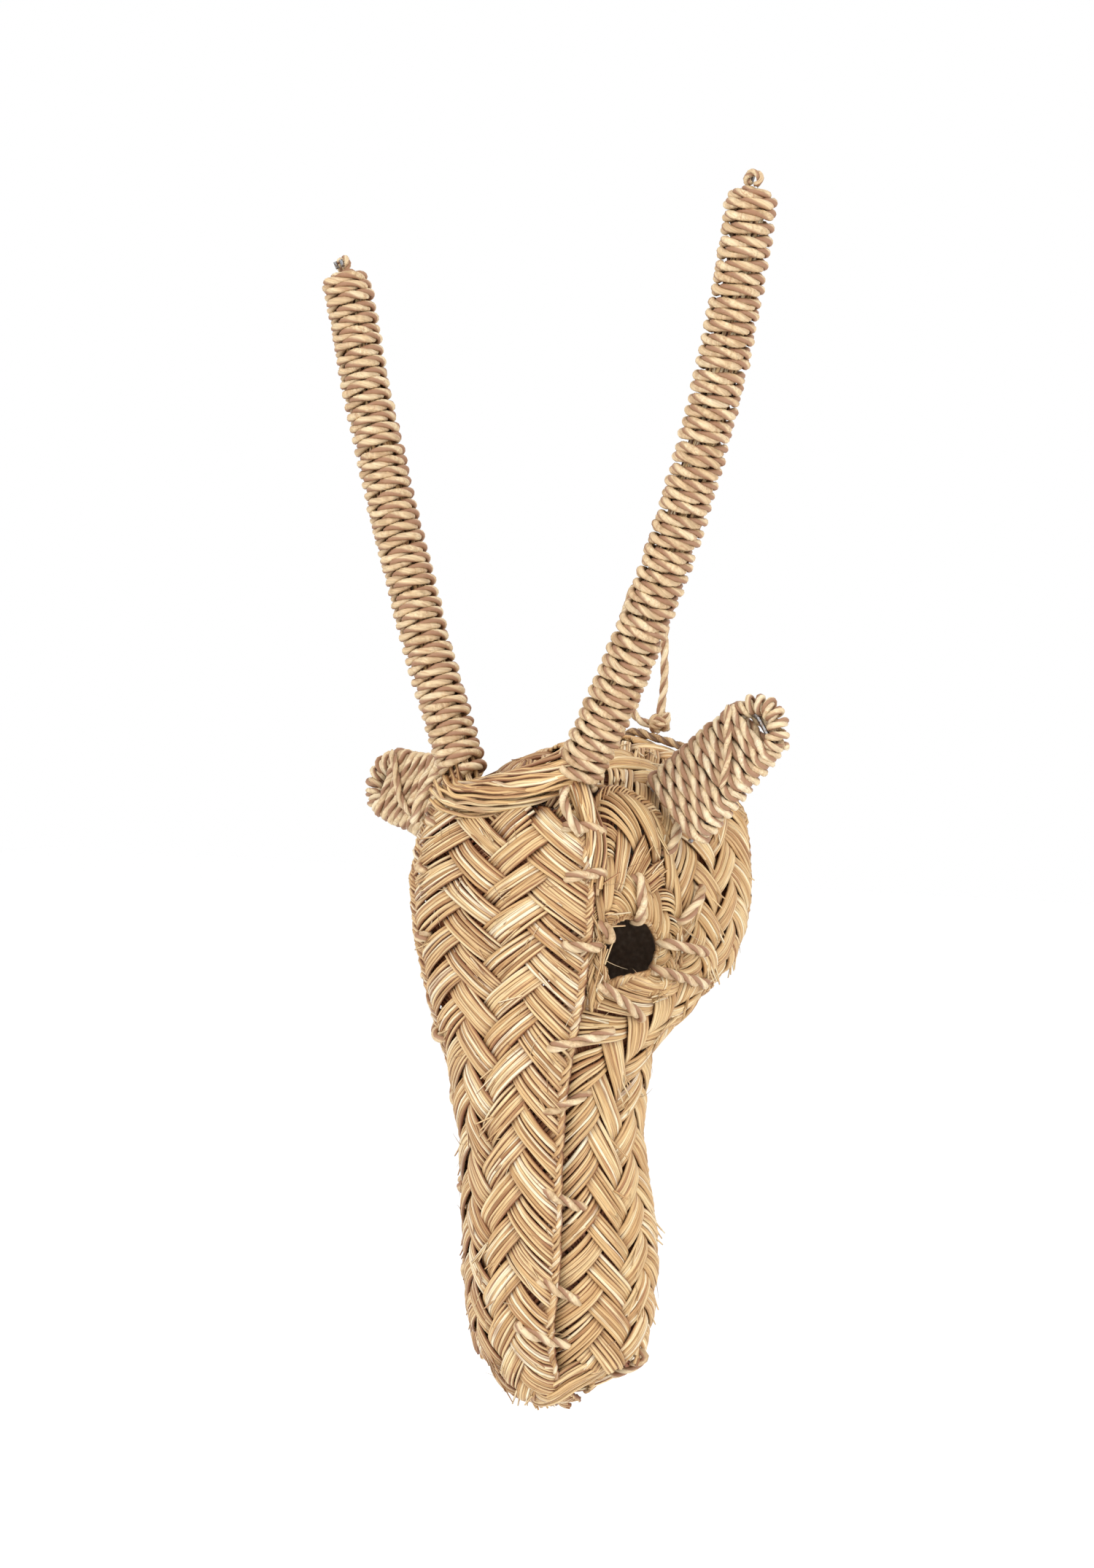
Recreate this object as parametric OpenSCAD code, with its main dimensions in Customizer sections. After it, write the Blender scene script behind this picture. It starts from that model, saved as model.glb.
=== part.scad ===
// Wall-hung horned head, plaited from esparto grass, with horns and ears wound in twisted palm cord.
// Frame: origin where the hanging loop bears on its nail, in the plane of the wall; +Z up, the face looks
// along -Y and the wall is the plane y = 0. Right is +X.

/* [Head] */
// Width of the head across the cheeks
head_w = 136; // [116:1:165]
// Depth of the head from the wall to the ridge of the face
head_d = 134; // [112:1:161]
// Height of the head from the crown to the nose
head_h = 322; // [268:1:387]
// Drop from the nail to the top of the crown
hang_drop = 75; // [62:1:90]
// Width of an eye hole
eye_w = 32; // [26:1:36]
// Height of an eye hole
eye_h = 25; // [20:1:30]

/* [Plaits] */
// Thickness of a plait, two crossing strands deep
plait_t = 7; // [5.5:0.5:8.5]
// Thickness of the bundle that rolls over the brow
brow_d = 21; // [17:1:25]
// Thickness of the sheet that closes the back of the head
sheet_t = 1.2; // [0.8:0.1:2]

/* [Cord] */
// Diameter of the twisted cord that winds the horns and the ears
cord_d = 5; // [4:0.25:6]
// Diameter of the thinner cord that sews the plaits and hangs the head
stitch_d = 4.4; // [3.6:0.1:5.4]

/* [Horns] */
// Length of the right horn along its curve
horn_len_right = 288; // [200:1:360]
// Length of the left horn along its curve
horn_len_left = 258; // [200:1:360]
// Diameter of the straw core of a horn
horn_core_d = 13.5; // [11:0.5:16.5]
// Length of a horn's core that is held inside the head
horn_tail = 16; // [10:1:20]
// Radius of the right horn's curve
horn_bend_right = 740; // [600:10:3000]
// Radius of the left horn's curve
horn_bend_left = 1480; // [600:10:3000]
// Outward lean of the right horn at its root, in degrees
horn_lean_right = 30; // [20:0.5:32]
// Outward lean of the left horn at its root, in degrees
horn_lean_left = 23.5; // [20:0.5:32]
// Turn of a horn's plane towards the wall, in degrees
horn_turn = 7; // [4:1:14]

/* [Ears] */
// Length of an ear from its root to its tip
ear_len = 77; // [64:1:92]
// Width of an ear at its root
ear_root_w = 47; // [39:1:56]
// Width of an ear near its tip
ear_tip_w = 37; // [30:1:44]
// Lift of the right ear above the level, in degrees
ear_lift_right = 44; // [5:1:50]
// Lift of the left ear above the level, in degrees
ear_lift_left = 9; // [5:1:50]
// Diameter of the steel wire inside the horns and the ears
wire_d = 2.4; // [2:0.1:3]

/* [Hidden] */
$fn = 48;
STRAW = [0.85, 0.71, 0.45];
STRAW_DARK = [0.72, 0.55, 0.33];
PALM = [0.82, 0.72, 0.57];
STEEL = [0.55, 0.56, 0.58];
FELT = [0.55, 0.47, 0.40];
clear = 0.3; // gap between pieces that are wound or laid round each other
steps = 3; // rings to each row of a plait

// A point of the head: x in percent of the half width, y in percent of the depth out from the wall, z in
// percent of the height down from the crown.
function at(p) = [p.x * head_w / 200, -p.y * head_d / 100, -hang_drop - p.z * head_h / 100];
function laid(rows) = [for (r = rows) [for (p = r) at(p)]];

// Each plait is a band given by rows across it: one edge, the middle and the other edge of its outer face.
FACE = laid([
    [[-76, 85, 9], [0, 92, 8], [59, 84, 9]],
    [[-82, 88, 14], [0, 95, 14], [64, 88, 14]],
    [[-85, 90, 22], [0, 98, 22], [71, 89, 22]],
    [[-71, 92, 35], [0, 99, 35], [65, 90, 35]],
    [[-54, 89, 48], [-1, 100, 48], [53, 90, 48]],
    [[-52, 83, 60], [-7, 97, 60], [46, 89, 60]],
    [[-58, 75, 75], [-13, 94, 75], [41, 87, 75]],
    [[-58, 72, 85], [-13, 91, 87], [35, 86, 86]],
    [[-48, 64, 93], [-9, 80, 96], [31, 78, 94]],
    [[-30, 54, 97], [0, 62, 99], [29, 64, 98]],
]);
CHEEK = laid([
    [[0, -2, 0], [0, 39, -1], [0, 80, 2]],
    [[47, -2, 3], [49, 33, 2], [44, 66, 4]],
    [[83, -2, 9], [81, 28, 8], [75, 57, 8]],
    [[92, -2, 17], [97, 27, 16], [91, 51, 16]],
    [[90, -2, 26], [100, 25, 26], [96, 47, 26]],
    [[79, 2, 33], [96, 25, 33], [96, 47, 32]],
    [[68, 13, 36], [88, 36, 37.5], [91, 61, 33.5]],
    [[56, 30, 39], [79, 52, 42.5], [77, 77, 35.5]],
    [[53, 34, 46], [70, 61, 48], [60, 87, 40.5]],
    [[50, 37, 58], [65, 63, 58], [44, 84, 55]],
    [[59, 35, 73], [72, 63, 74], [36, 83, 74]],
    [[57, 37, 84], [72, 62, 85], [31, 81, 85]],
    [[50, 39, 90], [66, 61, 92], [27, 77, 92]],
]);
JAW = laid([
    [[66, 8, 35], [53, -2, 38], [0, -2, 40], [-53, -2, 38], [-66, 8, 35]],
    [[54, 28, 39], [47, 10, 42], [0, 3, 44], [-47, 10, 42], [-54, 28, 39]],
    [[46, 43, 44], [42, 27, 47], [0, 14, 49], [-42, 27, 47], [-46, 43, 44]],
    [[43, 46, 57], [40, 31, 57], [0, 20, 57], [-40, 31, 57], [-43, 46, 57]],
    [[49, 45, 70], [42, 28, 70], [0, 19, 70], [-42, 28, 70], [-49, 45, 70]],
    [[49, 47, 83], [42, 30, 83], [0, 21, 84], [-42, 30, 83], [-49, 47, 83]],
    [[42, 52, 91], [34, 40, 92], [0, 33, 93], [-34, 40, 92], [-42, 52, 91]],
    [[30, 62, 95], [24, 54, 97], [0, 47, 98], [-24, 54, 97], [-30, 62, 95]],
]);
// The eye plait arches over the eye: the angle round the hole, then the middle and outer edge of the band.
EYE_AT = at([84, 72, 29]);
EYE_ALONG = unit(at([96, 50, 30]) - at([71, 90, 30]));
function eye_edge(a) = EYE_AT + EYE_ALONG * eye_w / 2 * cos(a) + [0, 0, eye_h / 2 * sin(a)];
EYE = [for (r = [
    [225, [76, 84, 36], [67, 86, 38]],
    [180, [74, 85, 30], [67, 88, 30]],
    [135, [78, 83, 22], [64, 86, 17]],
    [90, [83, 74, 17], [68, 74, 7]],
    [45, [91, 61, 19], [85, 53, 11]],
    [0, [95, 53, 27], [96, 49, 24]],
    [-45, [93, 57, 34], [93, 52, 34]],
    [-60, [87, 63, 36], [87, 59, 37]],
]) [at(r[2]), at(r[1]), eye_edge(r[0])]];

function spline(rows, s) = let (
    n = len(rows) - 1,
    i = min(floor(s), n - 1),
    f = s - i,
    b = rows[i],
    c = rows[i + 1],
    a = i > 0 ? rows[i - 1] : 2 * b - c,
    d = i + 2 <= n ? rows[i + 2] : 2 * c - b
) 0.5 * (2 * b + (c - a) * f + (2 * a - 5 * b + 4 * c - d) * f * f + (3 * b - a - 3 * c + d) * f * f * f);
// A row of three points is a parabola, and a longer one a spline.
function arc(row, t) = len(row) > 3
    ? spline(row, t * (len(row) - 1))
    : row[0] * (1 - t) * (1 - 2 * t) + row[1] * 4 * t * (1 - t) + row[2] * t * (2 * t - 1);
function band(rows, s, t) = arc(spline(rows, s), t);
function unit(v) = v / norm(v);
// Outward normal of a band; way is 1 or -1, so that it points out of the head.
function band_out(rows, s, t, way) = let (
    n = len(rows) - 1,
    s0 = max(s - 0.05, 0), s1 = min(s + 0.05, n),
    t0 = max(t - 0.05, 0), t1 = min(t + 0.05, 1)
) way * unit(cross(band(rows, s1, t) - band(rows, s0, t), band(rows, s, t1) - band(rows, s, t0)));

// A plait as one solid: its outer face, and its inner face a plait's thickness in, with rounded edges.
module plait(rows, way, lanes = 6) {
    n = (len(rows) - 1) * steps;
    m = lanes;
    round_in = plait_t / 4;
    function edge(j) = j == 0 || j == m ? round_in : 0;
    outer = [for (i = [0:n], j = [0:m])
        band(rows, i / steps, j / m) - edge(j) * band_out(rows, i / steps, j / m, way)];
    inner = [for (i = [0:n], j = [0:m])
        band(rows, i / steps, j / m) - (plait_t - edge(j)) * band_out(rows, i / steps, j / m, way)];
    k = (n + 1) * (m + 1);
    function id(i, j) = i * (m + 1) + j;
    function quad(a, b, c, d) = [[a, b, c], [a, c, d]];
    skin = [for (i = [0:n - 1], j = [0:m - 1]) each quad(id(i, j), id(i, j + 1), id(i + 1, j + 1), id(i + 1, j))];
    lining = [for (f = skin) [k + f[0], k + f[2], k + f[1]]];
    sides = [for (i = [0:n - 1]) each concat(
        quad(id(i, 0), id(i + 1, 0), k + id(i + 1, 0), k + id(i, 0)),
        quad(id(i, m), k + id(i, m), k + id(i + 1, m), id(i + 1, m)))];
    ends = [for (j = [0:m - 1]) each concat(
        quad(id(0, j), k + id(0, j), k + id(0, j + 1), id(0, j + 1)),
        quad(id(n, j), id(n, j + 1), k + id(n, j + 1), k + id(n, j)))];
    faces = concat(skin, lining, sides, ends);
    polyhedron(concat(outer, inner), way > 0 ? [for (f = faces) [f[0], f[2], f[1]]] : faces, convexity = 8);
}

// Rings of points joined into one closed solid.
module loft(rings) {
    m = len(rings[0]);
    n = len(rings);
    wall = [for (i = [0:n - 2], k = [0:m - 1]) let (a = i * m, b = a + m, q = (k + 1) % m)
        each [[a + k, b + k, b + q], [a + k, b + q, a + q]]];
    polyhedron([for (r = rings) each r], concat(wall, [[for (k = [0:m - 1]) k]],
        [[for (k = [m - 1:-1:0]) (n - 1) * m + k]]), convexity = 6);
}
// A round tube swept along points.
function tangent(p, i) = unit(p[min(i + 1, len(p) - 1)] - p[max(i - 1, 0)]);
function ring_up(p, i) = i == 0
    ? let (t = tangent(p, 0)) unit(cross(t, abs(t.z) < 0.8 ? [0, 0, 1] : [1, 0, 0]))
    : let (t = tangent(p, i), u = ring_up(p, i - 1)) unit(u - t * (u * t));
module tube(p, d, sides = 8) {
    loft([for (i = [0:len(p) - 1]) let (u = ring_up(p, i), v = cross(tangent(p, i), u))
        [for (k = [0:sides - 1]) let (a = 360 * k / sides) p[i] + d / 2 * (cos(a) * u + sin(a) * v)]]);
}
function curve(p, each_span) = [for (i = [0:(len(p) - 1) * each_span]) spline(p, i / each_span)];

// The wall is flat, so whatever would pass it is trimmed.
module wall_cut() {
    reach = 4 * head_h;
    intersection() {
        children();
        translate([-reach / 2, -reach, -reach]) cube([reach, reach, 2 * reach]);
    }
}
// The cheek plaits meet in the middle of the crown.
module side_cut() {
    reach = 4 * head_h;
    intersection() {
        children();
        translate([clear / 2, -reach, -reach]) cube([reach, 2 * reach, 2 * reach]);
    }
}
module pair(left) {
    if (left) mirror([1, 0, 0]) children();
    else children();
}

// Plaits
module face_plait() color(STRAW) plait(FACE, 1);
module cheek_plait(left) color(STRAW) wall_cut() pair(left) side_cut() plait(CHEEK, -1);
module eye_plait(left) color(STRAW) pair(left) plait(EYE, -1);
module jaw_plait() color(STRAW_DARK) wall_cut() plait(JAW, 1, 12);
BROW = [for (p = [[-62, 82, 7], [-40, 87, 8], [-10, 90, 7], [25, 88, 5], [50, 80, 2]]) at(p)];
module brow_roll() color(STRAW) tube(curve(BROW, 4), brow_d, 12);

// A thin sheet closes the back. It meets the side plaits, and ends just above the jaw's.
sheet_in = plait_t - 2;
BACK = [for (p = [[0, 2.11], [28.4, 3.2], [52.4, 6.03], [73.2, 10.78], [83, 17.81], [83, 26.21], [69.3, 31.57],
    [56, 34.4], [46, 36.8], [28, 38.8], [0, 39.6]]) at([p.x, 0, p.y])];
module back_sheet() {
    half = [for (p = curve(BACK, 3)) [p.x, p.z]];
    color(FELT) translate([0, -sheet_in, 0]) rotate([90, 0, 0]) linear_extrude(sheet_t)
        polygon(concat(half, [for (k = [len(half) - 2:-1:1]) [-half[k].x, half[k].y]]));
}

// Horns: a wire in a bundle of straw, closely wound with cord. Each horn is one arc, which starts at its root.
HORN_ROOT = at([46, 81, 5]);
wire_hole = wire_d / 2 + clear;
core_r = horn_core_d / 2;
sleeve_r = core_r + clear;
horn_r = sleeve_r + cord_d;
function bend(left) = left ? horn_bend_left : horn_bend_right;
function turn(left) = 180 / PI / bend(left);
// The plane of a horn's arc, turned so that X is the arc's radius after a length s along it.
module horn_plane(left, s) {
    pair(left) translate(HORN_ROOT) rotate([0, 0, horn_turn])
        rotate([0, left ? horn_lean_left : horn_lean_right, 0]) rotate([90, 0, 0])
            translate([-bend(left), 0, 0]) rotate([0, 0, s * turn(left)]) children();
}
module horn_arc(left, from, to) {
    horn_plane(left, from) rotate_extrude(angle = (to - from) * turn(left), $fn = 96)
        translate([bend(left), 0]) children();
}
module horn_end(left, s) horn_plane(left, s) translate([bend(left), 0, 0]) rotate([-90, 0, 0]) children();
module collar(outer, inner) {
    difference() {
        circle(outer);
        circle(inner);
    }
}
horn_foot = 6; // where the winding starts above the root
tip_bite = 1; // how far the domed tip reaches into the winding
core_stop = tip_bite + clear;
module horn_wire(left, len) color(STEEL) horn_arc(left, -horn_tail, len - core_stop) circle(wire_d / 2);
module horn_core(left, len) color(STRAW_DARK)
    horn_arc(left, -horn_tail, len - core_stop) collar(core_r, wire_hole);
// The winding ends in a domed tip with a small eye of cord on top.
tip_eye_r = 0.6 * cord_d;
module horn_cord(left, len) color(PALM) {
    horn_arc(left, horn_foot, len) collar(horn_r, sleeve_r);
    horn_end(left, len - tip_bite) {
        cylinder(r1 = horn_r - clear, r2 = horn_r - cord_d / 2, h = cord_d);
        translate([0, 0, cord_d + tip_eye_r]) rotate([90, 0, 30])
            rotate_extrude() translate([tip_eye_r, 0]) circle(stitch_d / 2);
    }
}
LASH_RIGHT = [for (p = [[44.12, 82.09, 4.04], [48.53, 88.06, 6.52], [54.41, 89.55, 9.32],
    [63.24, 88.06, 12.11]]) at(p)];
LASH_LEFT = [for (p = [[-61.76, 82.84, 2.8], [-70.59, 86.57, 5.9], [-76.47, 88.81, 8.7],
    [-80.88, 88.06, 11.49]]) at(p)];
module horn_lashing(points) color(PALM) tube(curve(points, 2), stitch_d);

// Ears: a wire loop closely wound with cord, sewn flat to the side of the head.
EAR_ROOT = at([89, 52, 10]);
ear_sweep = 13; // how far the ears point back to the wall, in degrees
ear_tilt = 16; // how far their faces turn up, in degrees
ear_t = 2 * cord_d + wire_d + 2 * clear;
module ear_frame(left, lift) {
    pair(left) translate(EAR_ROOT) rotate([0, -lift, ear_sweep]) rotate([-ear_tilt, 0, 0]) children();
}
// Half the width of an ear at x: straight sides, then a round tip.
function ear_half(x, inset) = let (
    tip = ear_tip_w / 2,
    side = ear_root_w / 2 + (tip - ear_root_w / 2) * min(x / (ear_len - tip), 1),
    over = max(x - (ear_len - tip), 0)
) sqrt(max(side * side - over * over, 0)) - inset;
function ear_ring(x, half, thick) = [for (k = [0:15]) let (a = 360 * k / 16, r = min(thick / 2, half))
    [x, -r * sin(a), r * cos(a) + sign(round(8 * cos(a))) * (half - r)]];
module ear_body(first, last, inset, thick) {
    stops = [for (k = [0:8]) first + (last - first) * sin(90 * k / 8)];
    loft([for (x = stops) ear_ring(x, ear_half(x, inset), thick)]);
}
module ear_cord(left, lift) color(PALM) ear_frame(left, lift) difference() {
    ear_body(0, ear_len - 0.4, 0, ear_t);
    ear_body(-1, ear_len - 2.2 * cord_d, cord_d, wire_d + 2 * clear);
}
module ear_wire(left, lift) {
    reach = ear_len - 2.2 * cord_d - wire_d;
    inset = cord_d + wire_d / 2 + clear;
    bow = [for (k = [0:6]) reach * sin(15 * k)];
    color(STEEL) ear_frame(left, lift) tube(concat(
        [for (x = bow) [x, 0, ear_half(x, inset) * (x > reach - 1 ? 0.35 : 1)]],
        [for (k = [5:-1:0]) [bow[k], 0, -ear_half(bow[k], inset)]]), wire_d);
}

// Stitches of cord: each comes up through one plait and goes down through the next.
function on(rows, s, t, way) = [band(rows, s, t), band_out(rows, s, t, way)];
function flip(v) = [-v.x, v.y, v.z];
function other(a) = [flip(a[0]), flip(a[1])];
module stitch(a, b) {
    r = stitch_d / 2;
    mid_out = unit(a[1] + b[1]);
    tube([a[0] - a[1], a[0] + r * a[1], (a[0] + b[0]) / 2 + 1.3 * r * mid_out, b[0] + r * b[1], b[0] - b[1]],
        stitch_d, 6);
}
module ear_lashing(left) color(PALM) pair(left) {
    stitch(on(CHEEK, 2.4, 0.86, -1), on(EYE, 4.2, 0.12, -1));
    stitch(on(CHEEK, 3.5, 0.8, -1), on(EYE, 5, 0.2, -1));
}
module seam_stitches(left) color(PALM) {
    edge = left ? 0.09 : 0.91;
    for (k = [[0.5, EYE, 2.6, 0.1], [1.6, EYE, 2.2, 0.25], [2.5, EYE, 1.2, 0.4]]) {
        b = on(k[1], k[2], k[3], -1);
        stitch(on(FACE, k[0], edge, 1), left ? other(b) : b);
    }
    for (k = [[3.6, 7.6], [4.4, 8.6], [5.3, 9.6], [6.2, 10.6]]) {
        b = on(CHEEK, k[1], 0.86, -1);
        stitch(on(FACE, k[0], edge, 1), left ? other(b) : b);
    }
}
module eye_stitches(left) color(PALM) pair(left) {
    for (k = [[1.6, 0.55], [3.3, 0.6]]) stitch(on(EYE, k[0], 0.97, -1), on(EYE, k[0], k[1], -1));
    stitch(on(EYE, 5, 0.85, -1), on(CHEEK, 4.6, 0.82, -1));
    stitch(on(EYE, 5.9, 0.85, -1), on(CHEEK, 5.5, 0.6, -1));
    stitch(on(EYE, 0.2, 0.6, -1), on(CHEEK, 6.9, 0.8, -1));
}
module nose_stitches() color(PALM) {
    stitch(on(FACE, 6.8, 0.8, 1), on(CHEEK, 11.3, 0.95, -1));
    stitch(on(CHEEK, 11.8, 0.3, -1), on(JAW, 6.4, 0.15, 1));
}

// Hanging cord
rim_t = 0.13; // how far along the crown's width the rim cord lies
rim_rise = stitch_d / 2 + clear;
function rim_point(s) = band(CHEEK, s, rim_t) + rim_rise * band_out(CHEEK, s, rim_t, -1);
module rim_cord() color(STRAW_DARK)
    tube(concat([for (k = [6:-1:0]) rim_point(k / 5)], [for (k = [1:4]) flip(rim_point(k / 5))]), stitch_d);
LOOP = [
    [11, -6, -64], [11, -5, -58], [12, -4, -46], [12, -4, -31], [12, -4, -16], [9, -4, -5], [5, -4, 1],
    [0, -4, 2.2], [-5, -4, 1], [-9, -4, -5], [-12, -4, -16], [-12, -4, -32], [-11, -4, -48], [-8, -4, -59],
    [-2, -5, -65], [5, -6, -67],
];
module hanging_loop() color(PALM) tube(curve(LOOP, 3), stitch_d);
KNOT_AT = [11, -7, -68];
module hanging_knot() color(PALM) translate(KNOT_AT) difference() {
    union() {
        rotate([90, 0, 20]) rotate_extrude() translate([stitch_d / 2, 0]) circle(stitch_d / 2);
        rotate([20, 70, 0]) rotate_extrude() translate([stitch_d / 2, 0]) circle(stitch_d / 2);
    }
    translate([0, 0, -20 - 2.5]) cube(40, center = true);
}

face_plait();
cheek_plait(false);  // cheek_plait_right
cheek_plait(true);  // cheek_plait_left
eye_plait(false);  // eye_plait_right
eye_plait(true);  // eye_plait_left
jaw_plait();
brow_roll();
back_sheet();
horn_wire(false, horn_len_right);  // horn_wire_right
horn_wire(true, horn_len_left);  // horn_wire_left
horn_core(false, horn_len_right);  // horn_core_right
horn_core(true, horn_len_left);  // horn_core_left
horn_cord(false, horn_len_right);  // horn_cord_right
horn_cord(true, horn_len_left);  // horn_cord_left
horn_lashing(LASH_RIGHT);  // horn_lashing_right
horn_lashing(LASH_LEFT);  // horn_lashing_left
ear_wire(false, ear_lift_right);  // ear_wire_right
ear_wire(true, ear_lift_left);  // ear_wire_left
ear_cord(false, ear_lift_right);  // ear_cord_right
ear_cord(true, ear_lift_left);  // ear_cord_left
ear_lashing(false);  // ear_lashing_right
ear_lashing(true);  // ear_lashing_left
seam_stitches(false);  // seam_stitches_right
seam_stitches(true);  // seam_stitches_left
eye_stitches(false);  // eye_stitches_right
eye_stitches(true);  // eye_stitches_left
nose_stitches();
rim_cord();
hanging_loop();
hanging_knot();
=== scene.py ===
"""Wall-hung horned head plaited from esparto grass, with a felt back whose grey-brown is painted shade, and
horns, ears and a loop of palm cord.

Lengths are in metres: the wall is the plane y = 0, the face looks along -Y, and the nail is at the origin.
"""

import math

import bpy
import numpy as np
from mathutils import Matrix, Vector


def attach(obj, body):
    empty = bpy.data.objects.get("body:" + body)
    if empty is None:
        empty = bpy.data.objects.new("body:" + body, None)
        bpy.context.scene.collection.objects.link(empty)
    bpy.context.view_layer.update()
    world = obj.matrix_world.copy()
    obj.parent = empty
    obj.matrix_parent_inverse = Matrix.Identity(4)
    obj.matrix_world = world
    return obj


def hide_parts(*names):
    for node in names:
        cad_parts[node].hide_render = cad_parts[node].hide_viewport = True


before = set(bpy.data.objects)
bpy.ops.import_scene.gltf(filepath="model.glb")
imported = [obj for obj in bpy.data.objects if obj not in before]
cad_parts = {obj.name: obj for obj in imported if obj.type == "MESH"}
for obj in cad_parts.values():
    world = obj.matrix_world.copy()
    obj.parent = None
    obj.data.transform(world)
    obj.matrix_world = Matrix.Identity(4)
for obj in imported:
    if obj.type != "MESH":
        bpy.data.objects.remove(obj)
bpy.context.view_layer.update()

MM = 0.001
HEAD_W, HEAD_D, HEAD_H = 0.136, 0.134, 0.322
HEAD = np.array([HEAD_W / 2, -HEAD_D, -HEAD_H]) / 100  # one percent of the half width, depth and height
HANG_DROP = 0.075  # from the nail down to the crown
PLAIT_T = 0.007
CORD_D = 0.005  # the cord wound on the horns and ears
STITCH_D = 0.0044  # the finer cord of the stitches and the loop
LEAF = 0.00105  # half the width of a leaf in a bundle
FINE_LEAF = 0.0009  # and of a finer one
PLY_OUT, PLY_W, PLY_T = 0.23, 0.35, 0.27  # a ply's distance from the middle, half width and half thickness
MIDDLE = Vector((0, -0.06, -0.1))  # of the whole head, for the camera and the lamps


# ---------------------------------------------------------------- camera and stage

def turned(azimuth, elevation):
    """The direction in which a camera looks from that side of the head."""
    a, e = math.radians(azimuth), math.radians(elevation)
    return Vector((-math.sin(a) * math.cos(e), math.cos(a) * math.cos(e), -math.sin(e)))


def place_camera():
    """A long lens, a little above the middle and well round to the head's right."""
    look = turned(36, 3)
    away = 1.8
    seen = 1.5 / 2.84  # width of the view at the head
    sensor = 36
    camera = bpy.data.objects.new("camera", bpy.data.cameras.new("camera"))
    bpy.context.scene.collection.objects.link(camera)
    camera.data.sensor_fit = "HORIZONTAL"
    camera.data.sensor_width = sensor
    camera.data.lens = sensor * away / seen
    side = look.cross(Vector((0, 0, 1))).normalized()
    up = side.cross(look)
    camera.location = MIDDLE - side * 0.01507 + up * 0.00556 - look * away
    camera.rotation_euler = look.to_track_quat("-Z", "Y").to_euler()
    camera.data.clip_end = 30  # past the floor's far edge
    bpy.context.scene.camera = camera


def softbox(name, azimuth, elevation, distance, size, watts, colour=(1, 1, 1)):
    """A square studio lamp that looks at the middle of the head."""
    look = turned(azimuth, elevation)
    lamp = bpy.data.objects.new(name, bpy.data.lights.new(name, "AREA"))
    lamp.data.shape = "SQUARE"
    lamp.data.size = size
    lamp.data.energy = watts
    lamp.data.color = colour
    lamp.location = MIDDLE - look * distance
    lamp.rotation_euler = look.to_track_quat("-Z", "Y").to_euler()
    bpy.context.scene.collection.objects.link(lamp)


place_camera()
softbox("key_lamp", -8, 34, 2.7, 1.6, 34, (1.0, 0.985, 0.965))
softbox("fill_lamp", 78, 14, 2.0, 1.4, 16, (0.99, 0.99, 1.0))
softbox("back_lamp", 170, 40, 2.0, 1.2, 7)


# ---------------------------------------------------------------- materials

def srgb(hex_colour):
    """Linear red, green, blue and alpha of an sRGB hex colour."""
    parts = [int(hex_colour[i:i + 2], 16) / 255 for i in (1, 3, 5)]
    return tuple(c / 12.92 if c <= 0.04045 else ((c + 0.055) / 1.055) ** 2.4 for c in parts) + (1.0,)


def add(tree, kind, inputs=(), links=(), **settings):
    """Adds a node with its settings, its sockets' values and the links from other nodes to its sockets."""
    node = tree.nodes.new(kind)
    for name, value in settings.items():
        setattr(node, name, value)
    for name, value in dict(inputs).items():
        node.inputs[name].default_value = value
    for name, socket in dict(links).items():
        tree.links.new(socket, node.inputs[name])
    return node


def ramp(tree, fac, stops):
    """Colours, or plain strengths, that follow fac through stops of place and value."""
    node = add(tree, "ShaderNodeValToRGB", links={"Fac": fac})
    band = node.color_ramp
    while len(band.elements) < len(stops):
        band.elements.new(0.5)
    for element, (place, colour) in zip(band.elements, stops):
        element.position = place
        element.color = srgb(colour) if isinstance(colour, str) else (colour,) * 3 + (1.0,)
    return node.outputs["Color"]


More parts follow.
